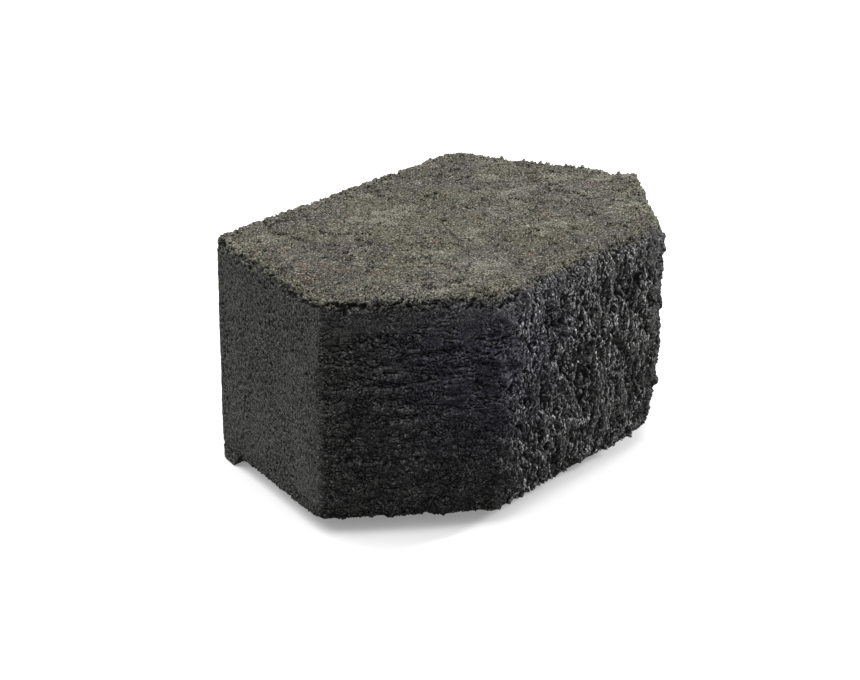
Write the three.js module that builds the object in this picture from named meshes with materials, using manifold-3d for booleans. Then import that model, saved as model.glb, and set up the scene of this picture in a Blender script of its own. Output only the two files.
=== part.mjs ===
// A small retaining-wall block, cast in one piece from charcoal-coloured dry concrete.
// Its nose and two bevels are split stone-like faces, its sides and back are smooth mould faces,
// and a lip along the back hangs below the bearing plane to hook behind the course underneath.
// Units are millimetres. +Z is up, -Y is towards the nose and the viewer of the finished wall, and
// the origin lies under the middle of the block, on the plane that the lip stands on.
import * as THREE from 'three';
import { mergeVertices } from 'three/addons/utils/BufferGeometryUtils.js';
import Module from 'manifold-3d';

// Driving dimensions of the plan
const WIDTH = 295; // across the corners where the sides meet the bevels
const REAR_WIDTH = 216; // along the back, where the sides have tapered in
const NOSE_WIDTH = 153; // along the middle split face
const DEPTH = 187; // nose to back
const SIDE_DEPTH = 117; // back to the widest line
const REAR_RADIUS = 11; // plan radius of the two back corners, left by the mould
const SHOULDER_RADIUS = 4; // plan radius where a side meets a bevel
const NOSE_RADIUS = 6; // plan radius where a bevel meets the nose

// Driving dimensions of the height and the lip
const COURSE_HEIGHT = 130; // bearing plane to bearing plane
const LIP_DROP = 8; // how far the lip hangs below the bearing plane
const LIP_ROOT = 24; // depth of the lip where it leaves the block
const LIP_DRAFT = 6; // how much the lip's front face slopes back on its way down
const LIP_CHAMFER = 6; // depth of the chamfer under the back face
const LIP_EMBED = 12; // how far the lip's solid reaches up into the block before they join

// Surface of the split faces
const RELIEF_PITCH = 9.5; // spacing of the surface points
const RELIEF_DEPTH = 3.6; // from its highest lumps to its deepest hollows
const RELIEF_PROUD = 0.35; // share of the relief that stands outside the nominal face
const RELIEF_RAMP = 16; // distance in front of the shoulders over which the breakage sets in
const LUMP_SIZE = 26; // size of its broad lumps
const GRAIN_SIZE = 11; // size of the smaller ones on them
const GRAIN_SHARE = 0.35; // how much of the relief the smaller ones take
const GRAIN_SHIFT = 50; // keeps the smaller ones out of step with the broad lumps

// Wear of the upper and lower edges, at the shoulders and on the nose: how far the edge is worn in,
// and how far from the bearing plane the wear reaches
const SIDE_CROWN = { depth: 1.5, reach: 5 };
const NOSE_CROWN = { depth: 6, reach: 14 };
const SIDE_FOOT = { depth: 1, reach: 6 };
const NOSE_FOOT = { depth: 6, reach: 34 };

// The lower corner of the nose that has broken away: where, how deep, which way it faced, how wide
// and how far up
const SPALL = {
  x: NOSE_WIDTH / 2,
  y: -DEPTH / 2,
  depth: 2,
  heading: -Math.PI / 3,
  spread: 30,
  height: 38,
};

const MERGE_DISTANCE = 1e-4; // points closer than this become one
const ARC_STEPS = 4;
const BODY_STEPS = 11; // levels between the worn edges
const WEAR_LEVELS = [0, 1.5, 4, 8, 14];

const REAR_Y = DEPTH / 2;
const NOSE_Y = -DEPTH / 2;
const SHOULDER_Y = REAR_Y - SIDE_DEPTH;
const BEARING_Z = LIP_DROP;
const TOP_Z = LIP_DROP + COURSE_HEIGHT;

// The plan's corners, counter-clockwise from above, and whether the face after each one is split
const CORNERS = [
  { x: -NOSE_WIDTH / 2, y: NOSE_Y, radius: NOSE_RADIUS, split: true },
  { x: NOSE_WIDTH / 2, y: NOSE_Y, radius: NOSE_RADIUS, split: true },
  { x: WIDTH / 2, y: SHOULDER_Y, radius: SHOULDER_RADIUS, split: false },
  { x: REAR_WIDTH / 2, y: REAR_Y, radius: REAR_RADIUS, split: false },
  { x: -REAR_WIDTH / 2, y: REAR_Y, radius: REAR_RADIUS, split: false },
  { x: -WIDTH / 2, y: SHOULDER_Y, radius: SHOULDER_RADIUS, split: true },
];

const wasm = await Module();
wasm.setup();

function solidOf(geometry) {
  const bare = geometry.clone();
  bare.deleteAttribute('normal');
  bare.deleteAttribute('uv');
  const merged = mergeVertices(bare, MERGE_DISTANCE);
  return new wasm.Manifold(
    new wasm.Mesh({
      numProp: 3,
      vertProperties: merged.getAttribute('position').array,
      triVerts: new Uint32Array(merged.index.array),
    }),
  );
}

function geometryOf(solid) {
  const mesh = solid.getMesh();
  const geometry = new THREE.BufferGeometry();
  geometry.setAttribute('position', new THREE.BufferAttribute(mesh.vertProperties, 3));
  geometry.setIndex(new THREE.BufferAttribute(mesh.triVerts, 1));
  geometry.computeVertexNormals();
  return geometry;
}

// A fixed pseudo-random number from 0 to 1 for a pair of whole numbers
function hash(i, j) {
  const value = Math.sin(i * 127.1 + j * 311.7) * 43758.5453;
  return value - Math.floor(value);
}

const clamp = THREE.MathUtils.clamp;
const ease = (t) => t * t * (3 - 2 * t);

// Smooth noise from 0 to 1 over a plane, with one random value per unit square
function noise(u, v) {
  const [i, j] = [Math.floor(u), Math.floor(v)];
  const [a, b] = [ease(u - i), ease(v - j)];
  const low = hash(i, j) * (1 - a) + hash(i + 1, j) * a;
  const high = hash(i, j + 1) * (1 - a) + hash(i + 1, j + 1) * a;
  return low * (1 - b) + high * b;
}

// The arc that rounds a corner of the plan: its centre, first angle, turn and tangent length, and
// the way the sharp corner moves when both walls move out by one unit
function arcAt(i) {
  const corner = CORNERS[i];
  const before = CORNERS[(i + CORNERS.length - 1) % CORNERS.length];
  const after = CORNERS[(i + 1) % CORNERS.length];
  const start = Math.atan2(corner.y - before.y, corner.x - before.x) - Math.PI / 2;
  const end = Math.atan2(after.y - corner.y, after.x - corner.x) - Math.PI / 2;
  const turn = (end - start + 2 * Math.PI) % (2 * Math.PI);
  const reach = 1 / Math.cos(turn / 2);
  const outX = Math.cos(start + turn / 2) * reach;
  const outY = Math.sin(start + turn / 2) * reach;
  return {
    x: corner.x - outX * corner.radius,
    y: corner.y - outY * corner.radius,
    start,
    turn,
    trim: corner.radius * Math.tan(turn / 2),
    outX,
    outY,
  };
}

function arcPoints(i) {
  const { x, y, start, turn, outX, outY } = arcAt(i);
  return Array.from({ length: ARC_STEPS + 1 }, (_, step) => {
    const angle = start + (turn * step) / ARC_STEPS;
    const radius = CORNERS[i].radius;
    return { x: x + radius * Math.cos(angle), y: y + radius * Math.sin(angle), outX, outY };
  });
}

// The points of the split face after a corner, between that corner's arc and the next one
function facePoints(i) {
  const from = CORNERS[i];
  const next = (i + 1) % CORNERS.length;
  const length = Math.hypot(CORNERS[next].x - from.x, CORNERS[next].y - from.y);
  const dx = (CORNERS[next].x - from.x) / length;
  const dy = (CORNERS[next].y - from.y) / length;
  const trim = arcAt(i).trim;
  const run = length - trim - arcAt(next).trim;
  const steps = Math.round(run / RELIEF_PITCH);
  return Array.from({ length: steps - 1 }, (_, k) => {
    const along = trim + (run * (k + 1)) / steps;
    return { x: from.x + dx * along, y: from.y + dy * along, outX: dy, outY: -dx };
  });
}

// The plan as points, each with the way it moves out and the distance walked round to it
function outline() {
  const points = CORNERS.flatMap((corner, i) =>
    corner.split ? [...arcPoints(i), ...facePoints(i)] : arcPoints(i),
  );
  let walked = 0;
  points.forEach((point, i) => {
    const last = points[Math.max(0, i - 1)];
    walked += Math.hypot(point.x - last.x, point.y - last.y);
    point.walked = walked;
  });
  return points;
}

// 0 on the mould faces, rising to 1 on the split ones
const brokenAt = (point) => ease(clamp((SHOULDER_Y - point.y) / RELIEF_RAMP, 0, 1));

// How deep the broken surface lies at a point of the outline and a height
function reliefAt(point, z) {
  const lumps = noise(point.walked / LUMP_SIZE, z / LUMP_SIZE);
  const grain = noise(point.walked / GRAIN_SIZE + GRAIN_SHIFT, z / GRAIN_SIZE);
  return RELIEF_DEPTH * (lumps * (1 - GRAIN_SHARE) + grain * GRAIN_SHARE - RELIEF_PROUD);
}

function spallAt(point, z) {
  const away = Math.hypot(point.x - SPALL.x, point.y - SPALL.y) / SPALL.spread;
  const up = (z - BEARING_Z) / SPALL.height;
  return SPALL.depth * ease(clamp(1 - away, 0, 1)) * ease(clamp(1 - up, 0, 1));
}

// How far a worn edge lies inside the sharp one at a point, at a height gap from the bearing plane.
// The wear grows from the shoulders to the nose.
function wearAt(point, gap, atSide, atNose) {
  const share = clamp((SHOULDER_Y - point.y) / (SHOULDER_Y - NOSE_Y), 0, 1) ** 2;
  const depth = THREE.MathUtils.lerp(atSide.depth, atNose.depth, share);
  const reach = THREE.MathUtils.lerp(atSide.reach, atNose.reach, share);
  return depth * Math.max(0, 1 - gap / reach) ** 2;
}

// A point of the worn and broken surface, inside the sharp outline at a height
function surfacePoint(point, z) {
  const crown = wearAt(point, TOP_Z - z, SIDE_CROWN, NOSE_CROWN);
  const foot = wearAt(point, z - BEARING_Z, SIDE_FOOT, NOSE_FOOT);
  const inset = crown + brokenAt(point) * (reliefAt(point, z) + foot);
  const spall = spallAt(point, z);
  return new THREE.Vector3(
    point.x - point.outX * inset - Math.cos(SPALL.heading) * spall,
    point.y - point.outY * inset - Math.sin(SPALL.heading) * spall,
    z,
  );
}

function levels() {
  const edge = WEAR_LEVELS.at(-1);
  const run = COURSE_HEIGHT - 2 * edge;
  const body = Array.from({ length: BODY_STEPS - 1 }, (_, k) => edge + (run * (k + 1)) / BODY_STEPS);
  const crown = WEAR_LEVELS.map((gap) => COURSE_HEIGHT - gap).reverse();
  return [...WEAR_LEVELS, ...body, ...crown].map((height) => BEARING_Z + height);
}

// A closed skin over a stack of rings that all have the same number of points
function loftGeometry(rings) {
  const count = rings[0].length;
  const last = (rings.length - 1) * count;
  const index = [];
  for (let r = 0; r + 1 < rings.length; r += 1) {
    for (let i = 0; i < count; i += 1) {
      const a = r * count + i;
      const b = r * count + ((i + 1) % count);
      index.push(a, b, b + count, a, b + count, a + count);
    }
  }
  const flat = (ring) => ring.map((p) => new THREE.Vector2(p.x, p.y));
  for (const [a, b, c] of THREE.ShapeUtils.triangulateShape(flat(rings[0]), [])) {
    index.push(a, c, b);
  }
  for (const [a, b, c] of THREE.ShapeUtils.triangulateShape(flat(rings.at(-1)), [])) {
    index.push(last + a, last + b, last + c);
  }
  const geometry = new THREE.BufferGeometry().setFromPoints(rings.flat());
  return geometry.setIndex(index);
}

function bodySolid(plan) {
  return solidOf(loftGeometry(levels().map((z) => plan.map((point) => surfacePoint(point, z)))));
}

// The lip: its section runs the width of the back and is trimmed to the block's plan
function lipSolid(plan) {
  const front = REAR_Y - LIP_ROOT;
  const top = BEARING_Z + LIP_EMBED;
  const section = new THREE.Shape([
    new THREE.Vector2(front, top),
    new THREE.Vector2(front, BEARING_Z),
    new THREE.Vector2(front + LIP_DRAFT, 0),
    new THREE.Vector2(REAR_Y - LIP_CHAMFER, 0),
    new THREE.Vector2(REAR_Y, BEARING_Z),
    new THREE.Vector2(REAR_Y, top),
  ]);
  const bar = new THREE.ExtrudeGeometry(section, { depth: WIDTH, bevelEnabled: false });
  bar.applyMatrix4(
    new THREE.Matrix4().makeBasis(
      new THREE.Vector3(0, 1, 0),
      new THREE.Vector3(0, 0, 1),
      new THREE.Vector3(1, 0, 0),
    ),
  );
  bar.translate(-WIDTH / 2, 0, 0);
  const outer = new THREE.Shape(plan.map((p) => new THREE.Vector2(p.x, p.y)));
  const trim = new THREE.ExtrudeGeometry(outer, { depth: top + LIP_EMBED, bevelEnabled: false });
  trim.translate(0, 0, -LIP_EMBED / 2);
  return solidOf(bar).intersect(solidOf(trim));
}

// The block, moved so that its worn outline is centred on the origin
function blockMesh() {
  const plan = outline();
  const geometry = geometryOf(bodySolid(plan).add(lipSolid(plan)));
  geometry.computeBoundingBox();
  const middle = geometry.boundingBox.getCenter(new THREE.Vector3());
  geometry.translate(-middle.x, -middle.y, 0);
  const concrete = new THREE.MeshStandardMaterial({ color: 0x3d3c39, roughness: 0.95, metalness: 0 });
  const mesh = new THREE.Mesh(geometry, concrete);
  mesh.name = 'wall_block';
  return mesh;
}

const wallBlock = new THREE.Group();
wallBlock.add(blockMesh());

export default wallBlock;
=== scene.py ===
"""A charcoal-coloured dry-cast concrete block for a small garden retaining wall, on a studio floor.

The block is one casting. Its solid from the frame is remeshed finely and its surface is then worn,
pitted and split in code. Sizes and places are in millimetres in the numbers below, and they are
turned into metres where they go into the scene. +Y is the back of the block and -Y its nose.
"""

import math

import bpy
import numpy as np
from mathutils import Matrix, Vector


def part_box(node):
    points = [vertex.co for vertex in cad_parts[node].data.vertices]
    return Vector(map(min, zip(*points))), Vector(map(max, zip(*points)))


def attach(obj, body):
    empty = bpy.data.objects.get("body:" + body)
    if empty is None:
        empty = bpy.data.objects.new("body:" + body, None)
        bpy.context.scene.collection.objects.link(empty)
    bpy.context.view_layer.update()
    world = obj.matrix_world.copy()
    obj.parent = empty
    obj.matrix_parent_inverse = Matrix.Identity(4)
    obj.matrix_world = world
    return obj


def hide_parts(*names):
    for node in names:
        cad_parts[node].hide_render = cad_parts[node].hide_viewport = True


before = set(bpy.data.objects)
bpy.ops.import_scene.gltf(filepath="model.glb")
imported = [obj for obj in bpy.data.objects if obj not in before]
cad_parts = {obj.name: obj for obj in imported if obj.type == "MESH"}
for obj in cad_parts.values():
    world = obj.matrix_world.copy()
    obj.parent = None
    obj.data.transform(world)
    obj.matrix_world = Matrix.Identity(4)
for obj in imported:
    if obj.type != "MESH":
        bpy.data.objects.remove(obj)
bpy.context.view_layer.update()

MM = 0.001
NODE = "wall_block"

# The camera
AZIMUTH = -50.4  # degrees round from the nose, below 0 towards the block's left side
ELEVATION = 22.1
ROLL = 0.4  # anticlockwise, seen from behind the camera
DISTANCE = 1354.0  # from the point that it aims at
LENS = 95.8
SENSOR = 36.0
AIM_HEIGHT = 73.0  # of the block's middle above the floor
AIM_RIGHT = -16.5  # from the block's middle to the centre of the view
AIM_UP = -7.5

# The studio
FLOOR = 12000.0  # side of the square
FLOOR_ALBEDO = 0.62
FLOOR_GLOW = 0.22  # a lit table keeps the shadows pale
CEILING = 0.95  # strength of the sky above the horizon
UNDERSKY = 0.02  # strength of the sky below it
HORIZON = 0.02  # half the height of the step between them, as part of the sky's radius
LIGHT_AIM = (0.0, 0.0, 70.0)
TOP_LIGHT = (-50.0, 300.0, 950.0)
TOP_POWER = 3.6
TOP_SPREAD = math.radians(80.0)
RIGHT_LIGHT = (1100.0, -500.0, 400.0)
RIGHT_POWER = 20.5
RIGHT_SIZE = 200.0

# The plan of the block
NOSE_HALF = 76.5  # half the width of the nose facet
SHOULDER_HALF = 147.5  # half the width at the shoulders
REAR_HALF = 108.0  # half the width of the back
SIDE_DEPTH = 117.0  # from the back to the shoulders
BEARING = 8.0  # height of the bottom bearing plane above the lip's underside

# The surface
VOXEL = 0.55  # edge of the remeshed surface
CAP_SLOPE = (0.45, 0.8)  # upright part of the normal where a wall turns into the top or underside
PROUD = 1.6  # how far out the relief stands before it is pressed flatter
PROUD_SHARE = 0.3  # of the height above that which is left
PAST_BOX = 2.5  # how far the relief may pass the block's box at the walls
PAST_TOP = 1.2
LEAST_SHARE = 0.01  # a kind of surface with less than this share of a point leaves it alone
FINE_ROUNDS = 2  # smoothing rounds that the fine and the coarse roundness are measured against
COARSE_ROUNDS = 14

# The layout for baking
SHEET = 624.0  # side of the square that the block's faces are laid out on
SHEET_GAP = 4.0


# ---------------------------------------------------------------- noise in numpy
#
# A seed picks one pattern out of many: the layers differ, and each is the same on every run.


def smooth(low, high, value):
    """0 below low, 1 above high, and a smooth rise between them."""
    t = np.clip((value - low) / (high - low), 0.0, 1.0)
    return t * t * (3.0 - 2.0 * t)


def scramble(x, y, z, seed):
    """A fixed whole number for each three whole numbers, by large odd factors that mix the bits."""
    value = x * np.uint32(73856093) ^ y * np.uint32(19349663) ^ z * np.uint32(83492791)
    value ^= np.uint32(seed * 40503)
    value = (value ^ (value >> np.uint32(13))) * np.uint32(1274126177)
    value = (value ^ (value >> np.uint32(15))) * np.uint32(2246822519)
    return value ^ (value >> np.uint32(16))


def lattice(points):
    """The whole-number cell below each point, as three columns, and the rest within the cell."""
    low = np.floor(points)
    return [low[:, i].astype(np.int32).astype(np.uint32) for i in range(3)], points - low


# The twelve directions from a cube's middle to its edges
GRADIENTS = np.array(
    [d for d in np.ndindex(3, 3, 3) if sum(abs(k - 1) for k in d) == 2],
    dtype=np.float32,
) - np.float32(1.0)


def gradient_noise(points, seed):
    """Smooth noise from about -1 to 1, with one wave per unit."""
    (x, y, z), part = lattice(points.astype(np.float32))
    ease = part * part * part * (part * (part * 6.0 - 15.0) + 10.0)
    total = np.zeros(len(points), dtype=np.float32)
    for i, j, k in np.ndindex(2, 2, 2):
        code = scramble(x + np.uint32(i), y + np.uint32(j), z + np.uint32(k), seed)
        vector = GRADIENTS[code % np.uint32(12)]
        share = (ease[:, 0] if i else 1.0 - ease[:, 0]) * (ease[:, 1] if j else 1.0 - ease[:, 1])
        share = share * (ease[:, 2] if k else 1.0 - ease[:, 2])
        along = vector[:, 0] * (part[:, 0] - i) + vector[:, 1] * (part[:, 1] - j)
        total += share * (along + vector[:, 2] * (part[:, 2] - k))
    return total


def octaves(points, size, seed, count=3, fall=0.5):
    """Noise of several sizes together, from about -1 to 1. size is one number or three, in mm."""
    total = 0.0
    for octave in range(count):
        scale = np.float32(2.0**octave) / np.array(size, dtype=np.float32)
        total = total + gradient_noise(points * scale, seed + octave) * fall**octave
    return total


def ridges(points, size, seed, count=2, fall=0.5):
    """Sharp branching crests, from about -1 to 1. size is one number or three, in mm."""
    total = 0.0
    for octave in range(count):
        scale = np.float32(2.0**octave) / np.array(size, dtype=np.float32)
        crest = 1.0 - 3.2 * np.abs(gradient_noise(points * scale, seed + octave))
        total = total + crest * fall**octave
    return total


def swirl(points, size, seed):
    """A push in each direction, from about -1 to 1, that bends what is laid on the moved points."""
    return np.stack([gradient_noise(points / size, seed + k) for k in range(3)], axis=1)


def cells(points, size, seed):
    """Distance to the nearest and next seed point, in cell sizes, and a number for the nearest."""
    (x, y, z), part = lattice((points / np.array(size)).astype(np.float32))
    first = np.full(len(points), 9.0, dtype=np.float32)  # further than any seed point is
    second = first.copy()
    tone = np.zeros(len(points), dtype=np.float32)
    for i, j, k in np.ndindex(3, 3, 3):
        code = scramble(x + np.uint32(i), y + np.uint32(j), z + np.uint32(k), seed)
        away = 0.0
        for axis, (step, shift) in enumerate(((i, 0), (j, 10), (k, 20))):
            spot = (code >> np.uint32(shift) & np.uint32(0x3FF)).astype(np.float32) / 1023.0
            away = away + (step - 1 + spot - part[:, axis]) ** 2
        away = np.sqrt(away)
        nearer = away < first
        second = np.where(nearer, first, np.minimum(second, away))
        tone = np.where(nearer, (code & np.uint32(0xFF)).astype(np.float32) / 255.0, tone)
        first = np.where(nearer, away, first)
    return first, second, tone


def grains(points, size, seed):
    """Rounded grains side by side: high in their middles, low where they meet. About -0.6 to 0.8."""
    near, following, tone = cells(points, size, seed)
    return smooth(0.0, 0.4, following - near) * (0.6 + 0.8 * tone) - 0.6


# ---------------------------------------------------------------- the block's surface


def remeshed(source):
    """A copy of the solid with an even, fine surface."""
    mesh = source.data.copy()
    block = bpy.data.objects.new("concrete_block", mesh)
    bpy.context.scene.collection.objects.link(block)
    block.matrix_world = source.matrix_world
    modifier = block.modifiers.new("remesh", "REMESH")
    modifier.mode = "VOXEL"
    modifier.voxel_size = VOXEL * MM
    graph = bpy.context.evaluated_depsgraph_get()
    fine = bpy.data.meshes.new_from_object(block.evaluated_get(graph))
    block.modifiers.clear()
    block.data = fine
    return block


def read(mesh, what):
    """A place or a direction for each vertex, as rows of three."""
    values = np.empty(len(mesh.vertices) * 3, dtype=np.float32)
    mesh.vertices.foreach_get(what, values)
    return values.reshape(-1, 3)


def wall_planes(low, high):
    """Outward normal and offset in plan of the six walls, from the block's box."""
    shoulder = high[1] - SIDE_DEPTH
    corners = [
        (-NOSE_HALF, low[1]),
        (NOSE_HALF, low[1]),
        (SHOULDER_HALF, shoulder),
        (REAR_HALF, high[1]),
        (-REAR_HALF, high[1]),
        (-SHOULDER_HALF, shoulder),
    ]
    planes = []
    for start, end in zip(corners, corners[1:] + corners[:1]):
        normal = np.array([end[1] - start[1], start[0] - end[0]])
        normal /= np.linalg.norm(normal)
        planes.append((normal, float(normal @ np.array(start))))
    return planes


class Surface:
    """Where each point of the block lies, and how much it belongs to each kind of surface.

    top, bottom, mould, bevel and nose share out the whole block. The others lie over them: rim and
    fringe along the top edges, foot along the bottom ones, heel at the foot of the shoulders, edge
    at the corners of the nose, band below the top, crack where the top edge has come loose and
    between plates, which the material paints near black as painted shade, broken ahead of the
    shoulders and rear at the back.
    """

    def __init__(self, points, normals, low, high):
        self.points = points
        planes = wall_planes(low, high)
        depth = np.stack([offset - points[:, :2] @ normal for normal, offset in planes])
        self.inside = np.clip(depth.min(axis=0), 0.0, None)
        self.below_top = high[2] - points[:, 2]
        self.above_foot = points[:, 2] - low[2] - BEARING
        self.top = smooth(*CAP_SLOPE, normals[:, 2])
        self.bottom = smooth(*CAP_SLOPE, -normals[:, 2])

        # The walls: mould faces behind the shoulders, and bevels and nose ahead of them
        wall = 1.0 - self.top - self.bottom
        ahead = high[1] - SIDE_DEPTH - points[:, 1]
        wander = 3.0 * gradient_noise(points / 11.0, 5)
        split = smooth(-2.0, 3.0, ahead + 0.6 * wander)
        front = smooth(-9.0, -20.0, np.abs(points[:, 0]) - NOSE_HALF + 4.0 * wander)
        self.mould = wall * (1.0 - split)
        self.nose = wall * split * front
        self.bevel = wall * split * (1.0 - front)
        self.broken = smooth(-12.0, 12.0, ahead)
        self.rear = smooth(high[1] - 30.0, high[1] - 4.0, points[:, 1])

        # The edges
        self.rim = np.exp(-(self.inside + self.below_top) / 5.5)
        self.fringe = np.exp(-(self.inside + 1.5 * self.below_top) / 8.0)
        self.foot = np.exp(-(self.inside + np.abs(self.above_foot)) / 5.0)
        shoulder = np.abs(ahead) + 0.6 * (SHOULDER_HALF - np.abs(points[:, 0]))
        self.heel = smooth(12.0, 0.0, np.hypot(shoulder, self.above_foot))
        corner = np.hypot(np.abs(points[:, 0]) - NOSE_HALF, points[:, 1] - low[1])
        self.edge = wall * smooth(15.0, 0.0, corner)

        # Below the top edge
        wavy = self.below_top + 9.0 * gradient_noise(points / 22.0, 7)
        self.band = wall * smooth(26.0, 9.0, wavy)
        # A ragged groove under the top edge, which the material paints near black as painted shade
        ragged = self.below_top + 3.4 * octaves(points, 7.0, 18, 3, 0.7)
        ledge = smooth(2.0, 3.5, ragged) * smooth(7.0, 4.5, ragged)
        patchy = smooth(-0.12, 0.2, octaves(points, 12.0, 9, 3, 0.7))
        self.crack = wall * (1.0 - 0.7 * split * front) * ledge * patchy
        self.plate = np.zeros(len(points), dtype=np.float32)  # filled in by the bevels

    def where(self, chosen):
        """The same facts for some of the points."""
        part = object.__new__(Surface)
        part.__dict__ = {name: values[chosen] for name, values in self.__dict__.items()}
        return part


def top_height(s):
    """The open-grained upper face: patches of grain between smoother, trowelled ones."""
    p = s.points
    worn = smooth(-0.25, 0.35, octaves(p, 24.0, 17, 3, 0.6))
    height = 0.5 * octaves(p, 34.0, 11, 2) + 0.4 * octaves(p, 6.0, 14, 2, 0.65)
    height += (0.25 + 0.5 * worn) * (0.5 * grains(p, 2.4, 21) + 0.4 * grains(p, 1.4, 24))
    pits = smooth(0.22, 0.45, octaves(p, 7.0, 31, 4, 0.75))
    return height - 1.2 * pits * (0.4 + 0.6 * worn) - 0.1


def mould_height(s):
    """The mould faces: smooth skin with many small pits, drawn upwards as the mould was pulled."""
    p = s.points
    height = 0.35 * octaves(p, 40.0, 41, 2) + 0.22 * octaves(p, (2.2, 2.2, 3.4), 44, 2, 0.6)
    near, _, tone = cells(p + 0.8 * octaves(p, 4.0, 56, 1)[:, None], (3.0, 3.0, 3.8), 47)
    pits = smooth(0.4, 0.15, near) * smooth(0.35, 0.5, tone)
    gaps = smooth(0.32, 0.46, octaves(p, (2.8, 2.8, 3.6), 49, 2, 0.8))
    fine = smooth(0.18, 0.38, octaves(p, (1.7, 1.7, 2.2), 51, 1))
    grainy = 0.35 + 0.65 * smooth(-0.3, 0.3, octaves(p, (26.0, 26.0, 40.0), 54, 3, 0.6))
    return height - grainy * (0.8 * pits + 1.0 * gaps + 0.6 * fine) - 1.2 * s.crack + 0.15


def flakes(p, size, seed, steps):
    """Ragged plates in steps, about -1 to 1, and where the cracks under their edges run, 0 to 1."""
    warp = 0.2 * gradient_noise(p / 3.0, seed + 9) + 0.3 * gradient_noise(p / 9.0, seed + 10)
    value = octaves(p, size, seed, 2, 0.5) * steps + warp
    floor = np.floor(value)
    rise = value - floor
    terrace = floor + smooth(0.0, 0.2, rise)
    crack = np.maximum(smooth(0.20, 0.08, rise), smooth(0.94, 1.0, rise))
    return terrace / steps, crack * smooth(-0.15, 0.05, octaves(p, 9.0, seed + 11, 2))


def split_grain(p, seed):
    """Broken paste and aggregate at four sizes, in rough clusters with smoother paste between."""
    q = p + 2.6 * swirl(p, 8.0, seed)
    cluster = smooth(-0.35, 0.35, octaves(p, 16.0, seed + 31, 2))
    height = 1.6 * octaves(q, 21.0, seed + 11, 2) + 1.6 * octaves(q, 9.0, seed + 14, 2, 0.6)
    loose = 1.0 * grains(q, 4.6, seed + 17) + 0.6 * grains(q, 2.2, seed + 19)
    return height + (0.35 + 0.75 * cluster) * loose


def bevel_height(s):
    """The two bevels: a plain band, then flaky, and coarser and more granular below.

    It also says where the plates and the cracks between them are.
    """
    p = s.points
    below = s.below_top + 18.0 * gradient_noise(p / 26.0, 61)
    flaky = smooth(84.0, 50.0, below)
    plain = smooth(24.0, 14.0, s.below_top + 10.0 * octaves(p, 24.0, 62, 2))
    terrace, crack = flakes(p, (24.0, 24.0, 6.5), 90, 3.4)
    second, hairline = flakes(p, (11.0, 11.0, 3.8), 190, 1.8)
    crack = np.maximum(crack, 0.75 * hairline) * (0.45 + 0.55 * flaky) * (1.0 - 0.8 * plain)
    s.crack[:] = np.maximum(s.crack, crack)
    s.plate[:] = np.maximum(flaky, plain)
    stepped = (2.8 * terrace + 1.0 * second) * (0.3 + 0.7 * flaky) * (1.0 - 0.8 * plain)
    skin = (0.8 - 0.5 * s.plate) * octaves(p, 3.4, 65, 3, 0.7)
    broken = split_grain(p, 70) * (1.0 - 0.78 * flaky) * (1.0 - 0.7 * plain)
    return broken + stepped + skin - 1.8 * s.crack + 0.4


def nose_height(s):
    """The nose: rough clusters, with upright ribs where the block was torn from its twin."""
    p = s.points
    q = p + 1.7 * swirl(p, 7.0, 101)
    ribbed = smooth(-0.2, 0.3, octaves(p, (12.0, 12.0, 20.0), 121, 2))
    ribs = 1.1 * ridges(q, (10.0, 10.0, 34.0), 111, 2)
    ribs += 0.8 * ridges(q, (4.6, 4.6, 14.0), 114, 2)
    rough = 1.8 * octaves(q, 20.0, 130, 2) + 2.2 * octaves(q, (8.0, 8.0, 10.0), 133, 3, 0.65)
    loose = 1.1 * grains(q, (3.4, 3.4, 5.6), 137) + 0.5 * grains(q, (1.9, 1.9, 2.8), 139)
    voids = smooth(0.12, 0.5, octaves(q, (12.0, 12.0, 17.0), 143, 3, 0.6))
    height = rough + (0.35 + 0.85 * ribbed) * ribs + 0.9 * loose - 2.8 * voids
    return (1.0 - 0.5 * s.band) * height + 0.3


def underside_height(s):
    """The hidden face that the block lies on: flat, with a few pits."""
    p = s.points
    pits = smooth(0.2, 0.45, octaves(p, 5.0, 151, 2, 0.7))
    return 0.3 * octaves(p, 6.0, 154, 3, 0.6) - 0.7 * pits


def crumble(s):
    """How far the edges have crumbled, with grains left standing on them."""
    p = s.points
    loss = np.clip(0.1 + 1.2 * octaves(p, 13.0, 161, 4, 0.7), 0.0, None)
    bent = p + 1.5 * gradient_noise(p / 4.0, 168)[:, None]
    loose = grains(bent, 4.2, 165) + 0.6 * grains(p, 2.2, 167)
    patchy = smooth(-0.4, 0.3, octaves(p, 15.0, 171, 2))
    rim = s.rim * (1.0 - 0.5 * s.rear) * ((1.0 + 1.5 * patchy) * loose + 0.4 - 3.0 * loss)
    holes = smooth(0.02, 0.3, octaves(p, 5.0, 178, 3, 0.7)) * (0.3 + 0.7 * patchy)
    rim -= 2.6 * s.fringe * holes
    foot = s.foot * (1.0 + s.broken) * (0.8 * loose - 0.9 * loss - 0.7)
    edge = s.edge * (1.0 + 3.4 * octaves(p, (13.0, 13.0, 11.0), 174, 3, 0.6))
    return rim + foot - edge - 2.0 * s.heel


def chart_normals(low, high):
    """The ways the eight faces look: top, bottom, back, two sides, two bevels and nose."""
    walls = [np.array([*normal, 0.0]) for normal, _ in wall_planes(low, high)]
    nose, right_bevel, right_side, back, left_side, left_bevel = walls
    caps = [np.array([0.0, 0.0, 1.0]), np.array([0.0, 0.0, -1.0])]
    return np.stack([*caps, back, right_side, left_side, right_bevel, left_bevel, nose])


def loop_vertices(mesh):
    """Which vertex each corner of each polygon is."""
    corners = np.empty(len(mesh.loops), dtype=np.int32)
    mesh.loops.foreach_get("vertex_index", corners)
    return corners


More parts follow.
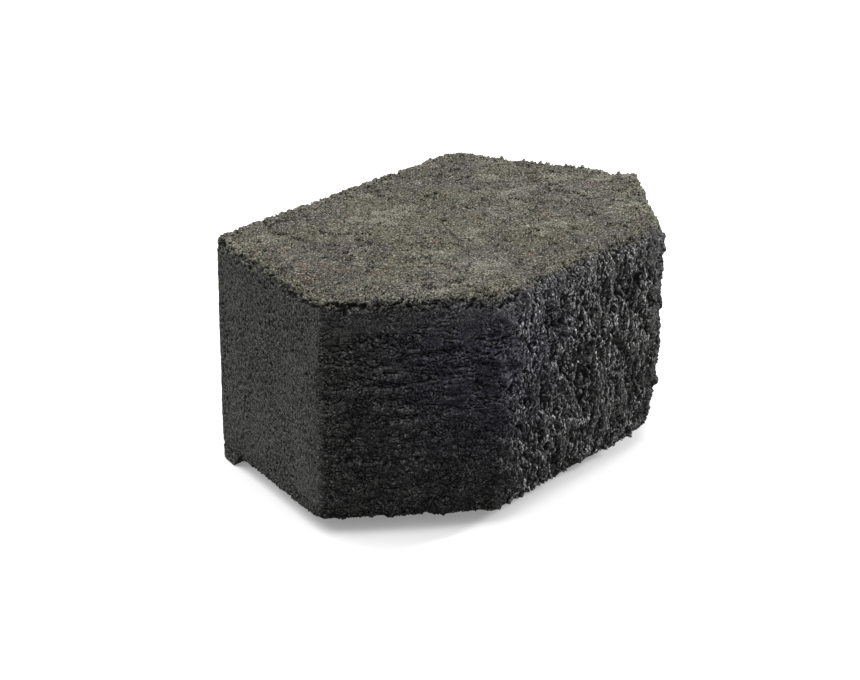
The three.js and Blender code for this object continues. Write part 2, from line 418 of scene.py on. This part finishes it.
def charts(mesh, normals, faces):
    """Which face of the block each corner of each polygon belongs to, by its smooth normals."""
    start = np.empty(len(mesh.polygons), dtype=np.int32)
    count = start.copy()
    mesh.polygons.foreach_get("loop_start", start)
    mesh.polygons.foreach_get("loop_total", count)
    facing = np.add.reduceat(normals[loop_vertices(mesh)], start, axis=0)
    return np.repeat(np.argmax(facing @ faces.T, axis=1), count)


def unwrap(mesh, points, faces, chart):
    """Lays the faces out flat, side by side in rows, for the colours to be baked on."""
    corners = points[loop_vertices(mesh)]
    spots = np.empty((len(corners), 2))
    x, y, row = SHEET_GAP, SHEET_GAP, 0.0
    for i, normal in enumerate(faces):
        up = np.array([0.0, 1.0, 0.0]) if abs(normal[2]) > 0.5 else np.array([0.0, 0.0, 1.0])
        chosen = chart == i
        flat = corners[chosen] @ np.stack([np.cross(up, normal), up], axis=1)
        flat -= flat.min(axis=0)
        width, height = flat.max(axis=0)
        if x + width > SHEET - SHEET_GAP:  # the next row
            x, y, row = SHEET_GAP, y + row + SHEET_GAP, 0.0
        spots[chosen] = flat + (x, y)
        x += width + SHEET_GAP
        row = max(row, height)
    layer = mesh.uv_layers.new(name="OFBake")
    layer.uv.foreach_set("vector", (spots / SHEET).astype(np.float32).ravel())


def roundness(mesh, points, normals, rounds):
    """How far each point stands out from its smoothed surroundings, in mm: crests above 0."""
    ends = np.empty(len(mesh.edges) * 2, dtype=np.int32)
    mesh.edges.foreach_get("vertices", ends)
    a, b = ends.reshape(-1, 2).T
    count = len(points)
    share = 1.0 / np.maximum(np.bincount(np.concatenate([a, b]), minlength=count), 1)
    smoothed = points.astype(np.float64)
    for _ in range(rounds):
        sums = [
            np.bincount(a, smoothed[b, i], count) + np.bincount(b, smoothed[a, i], count)
            for i in range(3)
        ]
        smoothed = 0.3 * smoothed + 0.7 * np.stack(sums, axis=1) * share[:, None]
    return np.sum((points - smoothed) * normals, axis=1)


def relief(s):
    """How far each point moves out, in mm."""
    height = np.zeros(len(s.points), dtype=np.float32)
    kinds = [
        (s.top, top_height),
        (s.mould, mould_height),
        (s.bevel, bevel_height),
        (s.nose, nose_height),
        (s.bottom, underside_height),
    ]
    for share, surface in kinds:
        chosen = share > LEAST_SHARE
        part = s.where(chosen)
        height[chosen] += share[chosen] * surface(part)
        s.crack[chosen] = np.maximum(s.crack[chosen], part.crack * share[chosen])
        s.plate[chosen] = np.maximum(s.plate[chosen], part.plate * share[chosen])
    edges = s.rim + s.fringe + s.foot + s.heel + s.edge
    chosen = edges > LEAST_SHARE
    height[chosen] += crumble(s.where(chosen))
    s.crack *= np.maximum(edges, 1.0)  # the painted shade in the cracks is darker at the edges
    s.plate *= np.maximum(edges, 1.0)
    return np.minimum(height, PROUD + PROUD_SHARE * np.maximum(height - PROUD, 0.0))


def roughened(block, low, high):
    """Moves the surface out and in, and keeps what the material needs as attributes."""
    mesh = block.data
    points = read(mesh, "co") / np.float32(MM)
    normals = read(mesh, "normal")
    s = Surface(points, normals, low, high)
    points = points + normals * relief(s)[:, None]
    points = np.clip(points, np.array(low) - PAST_BOX, np.array(high) + PAST_BOX)
    points[:, 2] = np.clip(points[:, 2], low[2], high[2] + PAST_TOP)
    faces = chart_normals(low, high)
    chart = charts(mesh, normals, faces)
    mesh.vertices.foreach_set("co", (points * MM).astype(np.float32).ravel())
    mesh.update()
    unwrap(mesh, points, faces, chart)
    normals = read(mesh, "normal")
    facts = {
        "top": s.top,
        "nose": s.nose,
        "split": np.clip(s.nose + s.bevel, 0.0, 1.0),
        "band": s.band,
        "crack": s.crack,
        "plate": s.plate,
        "fringe": s.fringe,
        # fine and coarse also say where the material paints shade in the hollows and highlights on
        # the crests
        "fine": roundness(mesh, points, normals, FINE_ROUNDS),
        "coarse": roundness(mesh, points, normals, COARSE_ROUNDS),
    }
    for name, values in facts.items():
        layer = mesh.attributes.new(name, "FLOAT", "POINT")
        layer.data.foreach_set("value", values.astype(np.float32))
    mesh.shade_smooth()
    mesh.update()
    return block


# ---------------------------------------------------------------- the material


class Nodes:
    """Short calls for the shader nodes of one material."""

    def __init__(self, name):
        self.material = bpy.data.materials.new(name)
        self.material.use_nodes = True
        self.tree = self.material.node_tree
        self.shader = self.tree.nodes["Principled BSDF"]
        self.place = self.add("ShaderNodeTexCoord").outputs["Object"]

    def add(self, kind, **settings):
        node = self.tree.nodes.new(kind)
        for key, value in settings.items():
            setattr(node, key, value)
        return node

    def feed(self, socket, value):
        if isinstance(value, bpy.types.NodeSocket):
            self.tree.links.new(value, socket)
        else:
            socket.default_value = value

    def fact(self, name):
        """One of the surface's attributes."""
        return self.add("ShaderNodeAttribute", attribute_name=name).outputs["Fac"]

    def noise(self, size, detail=3.0, rough=0.55, stretch=(1, 1, 1)):
        """Noise from 0 to 1 with features of about size mm."""
        mapping = self.add("ShaderNodeMapping")
        self.feed(mapping.inputs["Vector"], self.place)
        mapping.inputs["Scale"].default_value = stretch
        node = self.add("ShaderNodeTexNoise")
        self.feed(node.inputs["Vector"], mapping.outputs["Vector"])
        node.inputs["Scale"].default_value = 1.0 / (size * MM)
        node.inputs["Detail"].default_value = detail
        node.inputs["Roughness"].default_value = rough
        return node.outputs["Fac"]

    def near(self, spot, radius):
        """1 at a spot on the block, falling to 0 at a radius round it, both in mm."""
        node = self.add("ShaderNodeVectorMath", operation="DISTANCE")
        self.feed(node.inputs[0], self.place)
        node.inputs[1].default_value = [k * MM for k in spot]
        return self.ramp(node.outputs["Value"], radius * MM, 0.0)

    def math(self, operation, a, b):
        node = self.add("ShaderNodeMath", operation=operation)
        self.feed(node.inputs[0], a)
        self.feed(node.inputs[1], b)
        return node.outputs["Value"]

    def times(self, *values):
        """All of the values multiplied together."""
        total = values[0]
        for value in values[1:]:
            total = self.math("MULTIPLY", total, value)
        return total

    def ramp(self, value, low, high, start=0.0, end=1.0):
        """start where value is low, end where it is high, smooth between and level beyond."""
        node = self.add("ShaderNodeMapRange", interpolation_type="SMOOTHSTEP")
        self.feed(node.inputs["Value"], value)
        limits = {"From Min": low, "From Max": high, "To Min": start, "To Max": end}
        for key, number in limits.items():
            self.feed(node.inputs[key], number)
        return node.outputs["Result"]

    def mix(self, share, a, b, blend="MIX"):
        """The colour a with a share of the colour b in it, or multiplied by it."""
        node = self.add("ShaderNodeMix", data_type="RGBA", blend_type=blend)
        self.feed(node.inputs["Factor"], share)
        for key, value in (("A", a), ("B", b)):
            socket = [i for i in node.inputs if i.name == key and i.type == "RGBA"][0]
            self.feed(socket, (*value, 1.0) if isinstance(value, tuple) else value)
        return [o for o in node.outputs if o.type == "RGBA"][0]


# Colours of the concrete, as linear light
TOP_OLIVE = (0.082, 0.077, 0.053)
TOP_GREY = (0.070, 0.065, 0.056)
TOP_DARK = (0.032, 0.030, 0.024)
TOP_PALE = (0.27, 0.26, 0.21)
TOP_RUST = (0.115, 0.072, 0.048)
MOULD_GREY = (0.098, 0.099, 0.091)
MOULD_DARK = (0.022, 0.022, 0.021)
MOULD_PALE = (0.17, 0.17, 0.16)
SPLIT_BLACK = (0.024, 0.024, 0.023)
SPLIT_GREY = (0.054, 0.053, 0.048)
SPLIT_BLUE = (0.033, 0.032, 0.052)
SPLIT_BAND = (0.056, 0.055, 0.056)
# Pale specks on the split faces, and the painted highlight on the nose's crests and its painted
# glints
SPLIT_PALE_AND_HIGHLIGHT = (0.46, 0.46, 0.46)
# Painted shade: the black of the hollows, creases, pores, cracks and the gaps along the top edges
SHADE_BLACK = (0.002, 0.002, 0.003)
CRUMB = (0.19, 0.185, 0.14)
BLUE_SPOT = (-NOSE_HALF, -93.0, 105.0)  # high on the corner between the left bevel and the nose
RUST_SPOT = (-118.0, 20.0, 138.0)  # on the top, near the left side
BUMP = 0.8  # depth of the finest sand


def top_colour(n):
    """Olive and grey in patches, darker stains, pale scuffs and specks, and a rusty corner."""
    colour = n.mix(n.ramp(n.noise(42.0, 2.0, 0.6), 0.40, 0.60), TOP_GREY, TOP_OLIVE)
    stains = n.ramp(n.noise(12.0, 4.0, 0.65), 0.48, 0.34, 0.0, 0.4)
    colour = n.mix(stains, colour, TOP_DARK)
    rust = n.math("ADD", n.times(n.near(RUST_SPOT, 60.0), 0.12), n.noise(11.0, 4.0, 0.6))
    colour = n.mix(n.ramp(rust, 0.56, 0.72, 0.0, 0.6), colour, TOP_RUST)
    scuffs = n.times(n.ramp(n.noise(26.0, 3.0, 0.6), 0.42, 0.62), n.noise(4.0, 4.0, 0.75))
    colour = n.mix(n.ramp(scuffs, 0.30, 0.60, 0.0, 0.5), colour, TOP_PALE)
    specks = n.ramp(n.noise(2.6, 2.0, 0.6), 0.56, 0.70, 0.0, 0.7)
    colour = n.mix(specks, colour, TOP_PALE)
    return n.mix(n.ramp(n.noise(1.0, 1.0), 0.54, 0.70, 0.0, 0.7), colour, TOP_PALE)


def mould_colour(n):
    """Even grey with darker clouds and fine pale sand."""
    clouds = n.ramp(n.noise(30.0, 3.0, 0.6), 0.35, 0.65, 0.0, 0.25)
    colour = n.mix(clouds, MOULD_GREY, MOULD_DARK)
    sand = n.ramp(n.noise(1.6, 2.0, 0.7), 0.56, 0.70, 0.0, 0.5)
    return n.mix(sand, colour, MOULD_PALE)


def split_colour(n, fine):
    """Near black, bluish round one spot, with pale specks, and painted highlights on the crests and
    painted glints, most of them on the nose.
    """
    nose = n.fact("nose")
    colour = n.mix(n.ramp(n.noise(9.0, 4.0, 0.7), 0.40, 0.66), SPLIT_BLACK, SPLIT_GREY)
    colour = n.mix(n.times(n.near(BLUE_SPOT, 95.0), 0.9), colour, SPLIT_BLUE)
    band = n.times(n.fact("band"), n.ramp(nose, 0.0, 1.0, 0.6, 0.15))
    colour = n.mix(band, colour, SPLIT_BAND)
    # Painted highlight: the fine crests are made pale, most of all on the nose, in streaks and
    # clusters
    streaks = n.ramp(n.noise(2.4, 3.0, 0.75, (1, 1, 0.45)), 0.48, 0.58, 0.04, 1.0)
    clusters = n.ramp(n.noise(15.0, 3.0, 0.6, (1, 1, 0.6)), 0.40, 0.58, 0.35, 1.0)
    on_nose = n.ramp(nose, 0.0, 1.0, 0.2, 1.0)
    crests = n.times(n.ramp(fine, -0.01, 0.09), streaks, on_nose, clusters)
    colour = n.mix(crests, colour, SPLIT_PALE_AND_HIGHLIGHT)
    colour = n.mix(n.ramp(n.noise(1.3, 2.0), 0.58, 0.72, 0.0, 0.15), colour, SPLIT_PALE_AND_HIGHLIGHT)
    # Painted glints: sparse pale specks on the nose only
    painted_glints = n.times(n.ramp(n.noise(1.7, 1.0), 0.68, 0.74, 0.0, 0.9), nose)
    return n.mix(painted_glints, colour, SPLIT_PALE_AND_HIGHLIGHT)


def edge_colour(n, colour, coarse):
    """Pale crumbs along the top edges, and painted shade: deep black in the gaps between them."""
    rim = n.ramp(n.fact("fringe"), 0.2, 0.6)
    crumbs = n.times(rim, n.ramp(n.noise(3.2, 3.0, 0.7), 0.42, 0.56), 0.8)
    colour = n.mix(crumbs, colour, CRUMB)
    # Painted shade in the hollows along the top edges
    return n.mix(n.times(rim, n.ramp(coarse, 0.15, -0.3, 0.0, 0.85)), colour, SHADE_BLACK)


def shade_and_grit_colour(n, colour, fine, coarse, grain):
    """Painted shade, black in the hollows, the pores and the cracks, and grit over everything."""
    # Painted shade in the broad hollows and in the fine creases
    colour = n.mix(n.ramp(coarse, -0.04, -0.55, 0.0, 0.9), colour, SHADE_BLACK)
    colour = n.mix(n.ramp(fine, -0.01, -0.13, 0.0, 0.9), colour, SHADE_BLACK)
    # Painted shade in the pores, fewer of them on the plates
    open_grain = n.ramp(n.fact("plate"), 0.0, 1.0, 1.0, 0.5)
    pores = n.times(n.ramp(grain, 0.60, 0.34, 0.0, 0.85), open_grain)
    colour = n.mix(pores, colour, SHADE_BLACK)
    # Painted shade in the cracks and in the groove under the top edge
    colour = n.mix(n.times(n.fact("crack"), 0.85), colour, SHADE_BLACK)
    grit = n.ramp(n.noise(1.0, 1.0, 0.6), 0.36, 0.64, 0.45, 1.6)
    return n.mix(n.ramp(n.fact("top"), 0.0, 1.0, 1.0, 0.5), colour, grit, "MULTIPLY")


def concrete():
    """The one material of the block, which tells the kinds of surface apart by the attributes."""
    n = Nodes("charcoal_concrete")
    fine = n.fact("fine")
    coarse = n.fact("coarse")
    grain = n.noise(1.2, 3.0, 0.75)
    colour = n.mix(n.fact("split"), mould_colour(n), split_colour(n, fine))
    colour = n.mix(n.fact("top"), colour, top_colour(n))
    colour = edge_colour(n, colour, coarse)
    colour = shade_and_grit_colour(n, colour, fine, coarse, grain)
    n.feed(n.shader.inputs["Base Color"], colour)

    glints = n.times(n.ramp(n.noise(1.3, 1.0), 0.58, 0.70, 0.0, 0.45), n.fact("split"))
    roughness = n.math("SUBTRACT", n.ramp(grain, 0.3, 0.7, 0.96, 0.8), glints)
    n.feed(n.shader.inputs["Roughness"], roughness)
    n.shader.inputs["Specular IOR Level"].default_value = 0.15

    sand = n.math("ADD", n.noise(1.1, 3.0, 0.7), n.times(n.noise(3.0, 4.0, 0.7), 1.4))
    bump = n.add("ShaderNodeBump")
    bump.inputs["Strength"].default_value = 1.0
    bump.inputs["Distance"].default_value = BUMP * MM
    n.feed(bump.inputs["Height"], sand)
    n.feed(n.shader.inputs["Normal"], bump.outputs["Normal"])
    return n.material


# ---------------------------------------------------------------- the studio


def look_from(azimuth, elevation, roll):
    """Unit vectors of a view: right, up and back towards the viewer."""
    a, e, r = (math.radians(angle) for angle in (azimuth, elevation, roll))
    back = Vector((math.sin(a) * math.cos(e), -math.cos(a) * math.cos(e), math.sin(e)))
    level = Vector((math.cos(a), math.sin(a), 0.0))
    right = level * math.cos(r) + back.cross(level) * math.sin(r)
    return right, back.cross(right), back


def add_camera():
    """A long lens that looks past the block's middle, so that the block lies off centre."""
    right, up, back = look_from(AZIMUTH, ELEVATION, ROLL)
    middle = Vector((0.0, 0.0, AIM_HEIGHT))
    camera = bpy.data.objects.new("camera", bpy.data.cameras.new("camera"))
    camera.data.lens = LENS
    camera.data.sensor_width = SENSOR
    spot = middle + right * AIM_RIGHT + up * AIM_UP + back * DISTANCE
    axes = Matrix((right, up, back)).transposed().to_4x4()
    camera.matrix_world = Matrix.Translation(spot * MM) @ axes
    bpy.context.scene.collection.objects.link(camera)
    bpy.context.scene.camera = camera


def add_light(kind, name, place, power, **settings):
    """A light at place, in mm, that points at the block. A sun's place gives its direction only."""
    data = bpy.data.lights.new(name, kind)
    data.energy = power
    for key, value in settings.items():
        setattr(data, key, value)
    light = bpy.data.objects.new(name, data)
    light.location = Vector(place) * MM
    towards = Vector(LIGHT_AIM) - Vector(place)
    light.rotation_euler = towards.to_track_quat("-Z", "Y").to_euler()
    bpy.context.scene.collection.objects.link(light)


def add_floor():
    """A white table that glows a little and sends hardly any light back up."""
    bpy.ops.mesh.primitive_plane_add(size=FLOOR * MM)
    floor = bpy.context.object
    floor.name = "floor"
    floor.visible_diffuse = False  # the block's lower faces stay dark, as over a black cloth
    material = bpy.data.materials.new("studio_white")
    material.use_nodes = True
    shader = material.node_tree.nodes["Principled BSDF"]
    shader.inputs["Base Color"].default_value = (FLOOR_ALBEDO, FLOOR_ALBEDO, FLOOR_ALBEDO, 1.0)
    shader.inputs["Emission Color"].default_value = (1.0, 1.0, 1.0, 1.0)
    shader.inputs["Emission Strength"].default_value = FLOOR_GLOW
    shader.inputs["Roughness"].default_value = 0.9
    floor.data.materials.append(material)


def add_sky():
    """A white ceiling: nearly all of the light comes from above the horizon."""
    world = bpy.data.worlds.new("studio")
    world.use_nodes = True
    nodes, links = world.node_tree.nodes, world.node_tree.links
    place = nodes.new("ShaderNodeTexCoord")
    split = nodes.new("ShaderNodeSeparateXYZ")
    rise = nodes.new("ShaderNodeMapRange")
    rise.inputs["From Min"].default_value = -HORIZON
    rise.inputs["From Max"].default_value = HORIZON
    rise.inputs["To Min"].default_value = UNDERSKY
    rise.inputs["To Max"].default_value = CEILING
    links.new(place.outputs["Generated"], split.inputs[0])
    links.new(split.outputs["Z"], rise.inputs["Value"])
    links.new(rise.outputs["Result"], nodes["Background"].inputs["Strength"])
    nodes["Background"].inputs["Color"].default_value = (1.0, 1.0, 1.0, 1.0)
    bpy.context.scene.world = world


def add_studio():
    """The table, the sky and two lights."""
    add_floor()
    add_sky()
    add_light("SUN", "top_light", TOP_LIGHT, TOP_POWER, angle=TOP_SPREAD)
    disk = {"shape": "DISK", "size": RIGHT_SIZE * MM}
    add_light("AREA", "right_light", RIGHT_LIGHT, RIGHT_POWER, **disk)
    bpy.context.scene.view_settings.view_transform = "Standard"


def main():
    """The block in place of its CAD solid, and the studio round it."""
    add_camera()
    low, high = ([c / MM for c in corner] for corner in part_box(NODE))
    block = roughened(remeshed(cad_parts[NODE]), low, high)
    block.data.materials.clear()
    block.data.materials.append(concrete())
    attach(block, "root")
    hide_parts(NODE)
    add_studio()


main()
